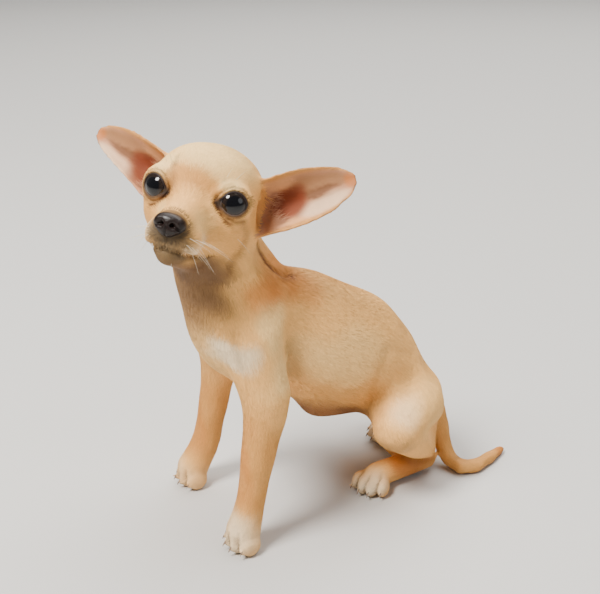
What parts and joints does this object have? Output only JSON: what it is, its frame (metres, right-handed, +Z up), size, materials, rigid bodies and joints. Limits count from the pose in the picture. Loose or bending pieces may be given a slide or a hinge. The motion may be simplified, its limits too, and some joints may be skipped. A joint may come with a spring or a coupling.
{
  "type": "chihuahua puppy, sitting",
  "caption": "Short-haired toy dog puppy sitting upright on straight forelegs, head turned and tilted, ears flared to the sides, tail curled along the floor.",
  "frame": {"origin": "on the floor, at the middle of the puppy's bounding box", "axes": "+Z up, -Y the way the body faces, +Y along the tail, +X the puppy's left"},
  "size_m": [0.0958, 0.19, 0.1773],
  "materials": {
    "coat_tan": "short smooth fur",
    "coat_cream": "short smooth fur",
    "coat_gold": "short smooth fur",
    "ear_skin": "thin skin with sparse fine fur",
    "nose_leather": "moist, finely grained",
    "eye": "wet gloss"
  },
  "bodies": {
    "root": {"torso": "coat_tan", "neck": "coat_tan", "tail": "coat_gold", "head": "coat_cream", "lower_jaw": "coat_cream", "nose": "nose_leather", "ear_left": "ear_skin", "ear_right": "ear_skin", "eye_left": "eye", "eye_right": "eye", "foreleg_left": "coat_tan", "foreleg_right": "coat_tan", "forepaw_left": "coat_cream", "forepaw_right": "coat_cream", "hindleg_left": "coat_tan", "hindleg_right": "coat_tan", "hindpaw_left": "coat_cream", "hindpaw_right": "coat_cream"}
  },
  "joints": []
}
